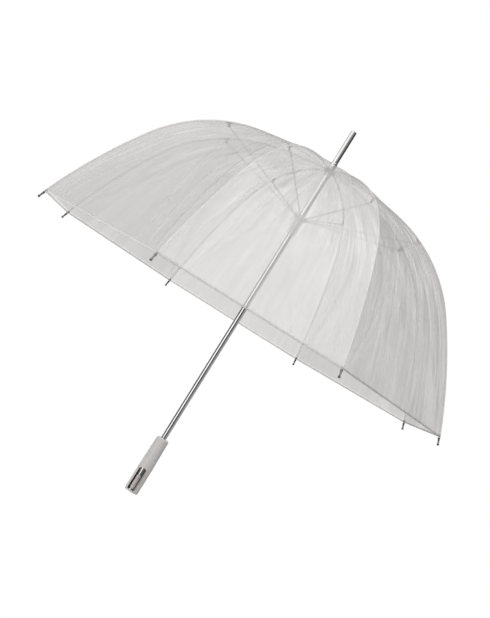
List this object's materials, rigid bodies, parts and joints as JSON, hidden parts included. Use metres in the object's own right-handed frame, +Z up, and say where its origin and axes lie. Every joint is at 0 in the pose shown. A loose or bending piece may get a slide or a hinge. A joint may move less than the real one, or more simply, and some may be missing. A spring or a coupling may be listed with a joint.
{
  "type": "stick umbrella",
  "caption": "Clear dome umbrella with curved ribs, sliding runner, straight frosted handle and push button; the ribs, stretchers and film fold down onto the shaft.",
  "frame": {"origin": "centre of the handle's bottom face, on the shaft's axis", "axes": "+Z up the shaft towards the ferrule; the push button faces -Y, 10 degrees towards -X"},
  "size_m": [0.9304, 0.9304, 0.905],
  "materials": {
    "clear_film": "clear, soft vinyl film with fine fold lines",
    "rib_rod": "light grey fibreglass rod, satin",
    "stretcher_metal": "light grey, satin",
    "tip_metal": "dark grey metal, slightly glossy",
    "shaft_metal": "satin",
    "bright_metal": "polished",
    "chrome_plate": "polished",
    "button_metal": "satin",
    "spring_steel": "plain",
    "clear_plastic": "clear",
    "hub_plastic": "pale, slightly translucent",
    "frosted_plastic": "frosted, translucent"
  },
  "bodies": {
    "root": {"shaft": "shaft_metal", "ferrule": "bright_metal", "ferrule_collar": "bright_metal", "crown_washer": "clear_plastic", "notch": "hub_plastic", "grip": "frosted_plastic", "button_plate": "chrome_plate", "button_spring": "spring_steel"},
    "runner": {"runner": "clear_plastic"},
    "top_catch": {"top_catch": "spring_steel"},
    "bottom_catch": {"bottom_catch": "spring_steel"},
    "release_button": {"release_button": "button_metal"},
    "rib_1_inner": {"rib_1_inner": "rib_rod"},
    "rib_1_outer": {"rib_1_outer": "rib_rod", "rib_1_tip": "tip_metal"},
    "stretcher_1": {"stretcher_1": "stretcher_metal"},
    "panel_1_upper": {"panel_1_upper": "clear_film"},
    "panel_1_lower": {"panel_1_lower": "clear_film"},
    "rib_2_inner": {"rib_2_inner": "rib_rod"},
    "rib_2_outer": {"rib_2_outer": "rib_rod", "rib_2_tip": "tip_metal"},
    "stretcher_2": {"stretcher_2": "stretcher_metal"},
    "panel_2_upper": {"panel_2_upper": "clear_film"},
    "panel_2_lower": {"panel_2_lower": "clear_film"},
    "rib_3_inner": {"rib_3_inner": "rib_rod"},
    "rib_3_outer": {"rib_3_outer": "rib_rod", "rib_3_tip": "tip_metal"},
    "stretcher_3": {"stretcher_3": "stretcher_metal"},
    "panel_3_upper": {"panel_3_upper": "clear_film"},
    "panel_3_lower": {"panel_3_lower": "clear_film"},
    "rib_4_inner": {"rib_4_inner": "rib_rod"},
    "rib_4_outer": {"rib_4_outer": "rib_rod", "rib_4_tip": "tip_metal"},
    "stretcher_4": {"stretcher_4": "stretcher_metal"},
    "panel_4_upper": {"panel_4_upper": "clear_film"},
    "panel_4_lower": {"panel_4_lower": "clear_film"},
    "rib_5_inner": {"rib_5_inner": "rib_rod"},
    "rib_5_outer": {"rib_5_outer": "rib_rod", "rib_5_tip": "tip_metal"},
    "stretcher_5": {"stretcher_5": "stretcher_metal"},
    "panel_5_upper": {"panel_5_upper": "clear_film"},
    "panel_5_lower": {"panel_5_lower": "clear_film"},
    "rib_6_inner": {"rib_6_inner": "rib_rod"},
    "rib_6_outer": {"rib_6_outer": "rib_rod", "rib_6_tip": "tip_metal"},
    "stretcher_6": {"stretcher_6": "stretcher_metal"},
    "panel_6_upper": {"panel_6_upper": "clear_film"},
    "panel_6_lower": {"panel_6_lower": "clear_film"},
    "rib_7_inner": {"rib_7_inner": "rib_rod"},
    "rib_7_outer": {"rib_7_outer": "rib_rod", "rib_7_tip": "tip_metal"},
    "stretcher_7": {"stretcher_7": "stretcher_metal"},
    "panel_7_upper": {"panel_7_upper": "clear_film"},
    "panel_7_lower": {"panel_7_lower": "clear_film"},
    "rib_8_inner": {"rib_8_inner": "rib_rod"},
    "rib_8_outer": {"rib_8_outer": "rib_rod", "rib_8_tip": "tip_metal"},
    "stretcher_8": {"stretcher_8": "stretcher_metal"},
    "panel_8_upper": {"panel_8_upper": "clear_film"},
    "panel_8_lower": {"panel_8_lower": "clear_film"}
  },
  "joints": [
    {"name": "runner_slide", "type": "slide", "parent": "root", "child": "runner", "axis": [0, 0, -1], "range_m": [0, 0.36551]},
    {"name": "rib_1_fold", "type": "hinge", "parent": "root", "child": "rib_1_inner", "pos_m": [0.00924, 0.00383, 0.80446], "axis": [-0.3827, 0.9239, 0], "range_deg": [0, 74.39]},
    {"name": "rib_2_fold", "type": "hinge", "parent": "root", "child": "rib_2_inner", "pos_m": [0.00383, 0.00924, 0.80446], "axis": [-0.9239, 0.3827, 0], "range_deg": [0, 74.39]},
    {"name": "rib_3_fold", "type": "hinge", "parent": "root", "child": "rib_3_inner", "pos_m": [-0.00383, 0.00924, 0.80446], "axis": [-0.9239, -0.3827, 0], "range_deg": [0, 74.39]},
    {"name": "rib_4_fold", "type": "hinge", "parent": "root", "child": "rib_4_inner", "pos_m": [-0.00924, 0.00383, 0.80446], "axis": [-0.3827, -0.9239, 0], "range_deg": [0, 74.39]},
    {"name": "rib_5_fold", "type": "hinge", "parent": "root", "child": "rib_5_inner", "pos_m": [-0.00924, -0.00383, 0.80446], "axis": [0.3827, -0.9239, 0], "range_deg": [0, 74.39]},
    {"name": "rib_6_fold", "type": "hinge", "parent": "root", "child": "rib_6_inner", "pos_m": [-0.00383, -0.00924, 0.80446], "axis": [0.9239, -0.3827, 0], "range_deg": [0, 74.39]},
    {"name": "rib_7_fold", "type": "hinge", "parent": "root", "child": "rib_7_inner", "pos_m": [0.00383, -0.00924, 0.80446], "axis": [0.9239, 0.3827, 0], "range_deg": [0, 74.39]},
    {"name": "rib_8_fold", "type": "hinge", "parent": "root", "child": "rib_8_inner", "pos_m": [0.00924, -0.00383, 0.80446], "axis": [0.3827, 0.9239, 0], "range_deg": [0, 74.39]},
    {"name": "rib_1_flex", "type": "hinge", "parent": "rib_1_inner", "child": "rib_1_outer", "pos_m": [0.26891, 0.11138, 0.73813], "axis": [-0.3827, 0.9239, 0], "range_deg": [-40.07, 0]},
    {"name": "rib_2_flex", "type": "hinge", "parent": "rib_2_inner", "child": "rib_2_outer", "pos_m": [0.11138, 0.26891, 0.73813], "axis": [-0.9239, 0.3827, 0], "range_deg": [-40.07, 0]},
    {"name": "rib_3_flex", "type": "hinge", "parent": "rib_3_inner", "child": "rib_3_outer", "pos_m": [-0.11138, 0.26891, 0.73813], "axis": [-0.9239, -0.3827, 0], "range_deg": [-40.07, 0]},
    {"name": "rib_4_flex", "type": "hinge", "parent": "rib_4_inner", "child": "rib_4_outer", "pos_m": [-0.26891, 0.11138, 0.73813], "axis": [-0.3827, -0.9239, 0], "range_deg": [-40.07, 0]},
    {"name": "rib_5_flex", "type": "hinge", "parent": "rib_5_inner", "child": "rib_5_outer", "pos_m": [-0.26891, -0.11138, 0.73813], "axis": [0.3827, -0.9239, 0], "range_deg": [-40.07, 0]},
    {"name": "rib_6_flex", "type": "hinge", "parent": "rib_6_inner", "child": "rib_6_outer", "pos_m": [-0.11138, -0.26891, 0.73813], "axis": [0.9239, -0.3827, 0], "range_deg": [-40.07, 0]},
    {"name": "rib_7_flex", "type": "hinge", "parent": "rib_7_inner", "child": "rib_7_outer", "pos_m": [0.11138, -0.26891, 0.73813], "axis": [0.9239, 0.3827, 0], "range_deg": [-40.07, 0]},
    {"name": "rib_8_flex", "type": "hinge", "parent": "rib_8_inner", "child": "rib_8_outer", "pos_m": [0.26891, -0.11138, 0.73813], "axis": [0.3827, 0.9239, 0], "range_deg": [-40.07, 0]},
    {"name": "stretcher_1_fold", "type": "hinge", "parent": "rib_1_inner", "child": "stretcher_1", "pos_m": [0.22719, 0.0941, 0.75489], "axis": [-0.3827, 0.9239, 0], "range_deg": [-144.7, 0]},
    {"name": "stretcher_2_fold", "type": "hinge", "parent": "rib_2_inner", "child": "stretcher_2", "pos_m": [0.0941, 0.22719, 0.75489], "axis": [-0.9239, 0.3827, 0], "range_deg": [-144.7, 0]},
    {"name": "stretcher_3_fold", "type": "hinge", "parent": "rib_3_inner", "child": "stretcher_3", "pos_m": [-0.0941, 0.22719, 0.75489], "axis": [-0.9239, -0.3827, 0], "range_deg": [-144.7, 0]},
    {"name": "stretcher_4_fold", "type": "hinge", "parent": "rib_4_inner", "child": "stretcher_4", "pos_m": [-0.22719, 0.0941, 0.75489], "axis": [-0.3827, -0.9239, 0], "range_deg": [-144.7, 0]},
    {"name": "stretcher_5_fold", "type": "hinge", "parent": "rib_5_inner", "child": "stretcher_5", "pos_m": [-0.22719, -0.0941, 0.75489], "axis": [0.3827, -0.9239, 0], "range_deg": [-144.7, 0]},
    {"name": "stretcher_6_fold", "type": "hinge", "parent": "rib_6_inner", "child": "stretcher_6", "pos_m": [-0.0941, -0.22719, 0.75489], "axis": [0.9239, -0.3827, 0], "range_deg": [-144.7, 0]},
    {"name": "stretcher_7_fold", "type": "hinge", "parent": "rib_7_inner", "child": "stretcher_7", "pos_m": [0.0941, -0.22719, 0.75489], "axis": [0.9239, 0.3827, 0], "range_deg": [-144.7, 0]},
    {"name": "stretcher_8_fold", "type": "hinge", "parent": "rib_8_inner", "child": "stretcher_8", "pos_m": [0.22719, -0.0941, 0.75489], "axis": [0.3827, 0.9239, 0], "range_deg": [-144.7, 0]},
    {"name": "panel_1_fold", "type": "hinge", "parent": "root", "child": "panel_1_upper", "pos_m": [0.00202, 0.00202, 0.79821], "axis": [-0.7071, 0.7071, 0], "range_deg": [0, 73.48], "deforming": ["panel_1_upper"]},
    {"name": "panel_2_fold", "type": "hinge", "parent": "root", "child": "panel_2_upper", "pos_m": [0, 0.00286, 0.79821], "axis": [-1, 0, 0], "range_deg": [0, 73.48], "deforming": ["panel_2_upper"]},
    {"name": "panel_3_fold", "type": "hinge", "parent": "root", "child": "panel_3_upper", "pos_m": [-0.00202, 0.00202, 0.79821], "axis": [-0.7071, -0.7071, 0], "range_deg": [0, 73.48], "deforming": ["panel_3_upper"]},
    {"name": "panel_4_fold", "type": "hinge", "parent": "root", "child": "panel_4_upper", "pos_m": [-0.00286, 0, 0.79821], "axis": [0, -1, 0], "range_deg": [0, 73.48], "deforming": ["panel_4_upper"]},
    {"name": "panel_5_fold", "type": "hinge", "parent": "root", "child": "panel_5_upper", "pos_m": [-0.00202, -0.00202, 0.79821], "axis": [0.7071, -0.7071, 0], "range_deg": [0, 73.48], "deforming": ["panel_5_upper"]},
    {"name": "panel_6_fold", "type": "hinge", "parent": "root", "child": "panel_6_upper", "pos_m": [0, -0.00286, 0.79821], "axis": [1, 0, 0], "range_deg": [0, 73.48], "deforming": ["panel_6_upper"]},
    {"name": "panel_7_fold", "type": "hinge", "parent": "root", "child": "panel_7_upper", "pos_m": [0.00202, -0.00202, 0.79821], "axis": [0.7071, 0.7071, 0], "range_deg": [0, 73.48], "deforming": ["panel_7_upper"]},
    {"name": "panel_8_fold", "type": "hinge", "parent": "root", "child": "panel_8_upper", "pos_m": [0.00286, 0, 0.79821], "axis": [0, 1, 0], "range_deg": [0, 73.48], "deforming": ["panel_8_upper"]},
    {"name": "panel_1_hang", "type": "hinge", "parent": "panel_1_upper", "child": "panel_1_lower", "pos_m": [0.19091, 0.19091, 0.73987], "axis": [-0.7071, 0.7071, 0], "range_deg": [-41.16, 0], "deforming": ["panel_1_lower"]},
    {"name": "panel_2_hang", "type": "hinge", "parent": "panel_2_upper", "child": "panel_2_lower", "pos_m": [0, 0.26999, 0.73987], "axis": [-1, 0, 0], "range_deg": [-41.16, 0], "deforming": ["panel_2_lower"]},
    {"name": "panel_3_hang", "type": "hinge", "parent": "panel_3_upper", "child": "panel_3_lower", "pos_m": [-0.19091, 0.19091, 0.73987], "axis": [-0.7071, -0.7071, 0], "range_deg": [-41.16, 0], "deforming": ["panel_3_lower"]},
    {"name": "panel_4_hang", "type": "hinge", "parent": "panel_4_upper", "child": "panel_4_lower", "pos_m": [-0.26999, 0, 0.73987], "axis": [0, -1, 0], "range_deg": [-41.16, 0], "deforming": ["panel_4_lower"]},
    {"name": "panel_5_hang", "type": "hinge", "parent": "panel_5_upper", "child": "panel_5_lower", "pos_m": [-0.19091, -0.19091, 0.73987], "axis": [0.7071, -0.7071, 0], "range_deg": [-41.16, 0], "deforming": ["panel_5_lower"]},
    {"name": "panel_6_hang", "type": "hinge", "parent": "panel_6_upper", "child": "panel_6_lower", "pos_m": [0, -0.26999, 0.73987], "axis": [1, 0, 0], "range_deg": [-41.16, 0], "deforming": ["panel_6_lower"]},
    {"name": "panel_7_hang", "type": "hinge", "parent": "panel_7_upper", "child": "panel_7_lower", "pos_m": [0.19091, -0.19091, 0.73987], "axis": [0.7071, 0.7071, 0], "range_deg": [-41.16, 0], "deforming": ["panel_7_lower"]},
    {"name": "panel_8_hang", "type": "hinge", "parent": "panel_8_upper", "child": "panel_8_lower", "pos_m": [0.26999, 0, 0.73987], "axis": [0, 1, 0], "range_deg": [-41.16, 0], "deforming": ["panel_8_lower"]},
    {"name": "top_catch_press", "type": "slide", "parent": "root", "child": "top_catch", "axis": [0, -1, 0], "range_m": [0, 0.0027], "stiffness_N_per_m": 400},
    {"name": "bottom_catch_press", "type": "slide", "parent": "root", "child": "bottom_catch", "axis": [0, -1, 0], "range_m": [0, 0.0027], "stiffness_N_per_m": 400},
    {"name": "button_press", "type": "slide", "parent": "root", "child": "release_button", "axis": [0.1736, 0.9848, 0], "range_m": [0, 0.0025], "stiffness_N_per_m": 900, "deforming": ["button_spring"]}
  ],
  "couplings": [
    {"joint": "rib_1_fold", "follows": "runner_slide", "rad_per_m": 3.5497},
    {"joint": "rib_2_fold", "follows": "runner_slide", "rad_per_m": 3.5497},
    {"joint": "rib_3_fold", "follows": "runner_slide", "rad_per_m": 3.5497},
    {"joint": "rib_4_fold", "follows": "runner_slide", "rad_per_m": 3.5497},
    {"joint": "rib_5_fold", "follows": "runner_slide", "rad_per_m": 3.5497},
    {"joint": "rib_6_fold", "follows": "runner_slide", "rad_per_m": 3.5497},
    {"joint": "rib_7_fold", "follows": "runner_slide", "rad_per_m": 3.5497},
    {"joint": "rib_8_fold", "follows": "runner_slide", "rad_per_m": 3.5497},
    {"joint": "rib_1_flex", "follows": "runner_slide", "rad_per_m": -1.9108},
    {"joint": "rib_2_flex", "follows": "runner_slide", "rad_per_m": -1.9108},
    {"joint": "rib_3_flex", "follows": "runner_slide", "rad_per_m": -1.9108},
    {"joint": "rib_4_flex", "follows": "runner_slide", "rad_per_m": -1.9108},
    {"joint": "rib_5_flex", "follows": "runner_slide", "rad_per_m": -1.9108},
    {"joint": "rib_6_flex", "follows": "runner_slide", "rad_per_m": -1.9108},
    {"joint": "rib_7_flex", "follows": "runner_slide", "rad_per_m": -1.9108},
    {"joint": "rib_8_flex", "follows": "runner_slide", "rad_per_m": -1.9108},
    {"joint": "stretcher_1_fold", "follows": "runner_slide", "rad_per_m": -6.9071},
    {"joint": "stretcher_2_fold", "follows": "runner_slide", "rad_per_m": -6.9071},
    {"joint": "stretcher_3_fold", "follows": "runner_slide", "rad_per_m": -6.9071},
    {"joint": "stretcher_4_fold", "follows": "runner_slide", "rad_per_m": -6.9071},
    {"joint": "stretcher_5_fold", "follows": "runner_slide", "rad_per_m": -6.9071},
    {"joint": "stretcher_6_fold", "follows": "runner_slide", "rad_per_m": -6.9071},
    {"joint": "stretcher_7_fold", "follows": "runner_slide", "rad_per_m": -6.9071},
    {"joint": "stretcher_8_fold", "follows": "runner_slide", "rad_per_m": -6.9071},
    {"joint": "panel_1_fold", "follows": "runner_slide", "rad_per_m": 3.5066},
    {"joint": "panel_2_fold", "follows": "runner_slide", "rad_per_m": 3.5066},
    {"joint": "panel_3_fold", "follows": "runner_slide", "rad_per_m": 3.5066},
    {"joint": "panel_4_fold", "follows": "runner_slide", "rad_per_m": 3.5066},
    {"joint": "panel_5_fold", "follows": "runner_slide", "rad_per_m": 3.5066},
    {"joint": "panel_6_fold", "follows": "runner_slide", "rad_per_m": 3.5066},
    {"joint": "panel_7_fold", "follows": "runner_slide", "rad_per_m": 3.5066},
    {"joint": "panel_8_fold", "follows": "runner_slide", "rad_per_m": 3.5066},
    {"joint": "panel_1_hang", "follows": "runner_slide", "rad_per_m": -1.9629},
    {"joint": "panel_2_hang", "follows": "runner_slide", "rad_per_m": -1.9629},
    {"joint": "panel_3_hang", "follows": "runner_slide", "rad_per_m": -1.9629},
    {"joint": "panel_4_hang", "follows": "runner_slide", "rad_per_m": -1.9629},
    {"joint": "panel_5_hang", "follows": "runner_slide", "rad_per_m": -1.9629},
    {"joint": "panel_6_hang", "follows": "runner_slide", "rad_per_m": -1.9629},
    {"joint": "panel_7_hang", "follows": "runner_slide", "rad_per_m": -1.9629},
    {"joint": "panel_8_hang", "follows": "runner_slide", "rad_per_m": -1.9629}
  ]
}
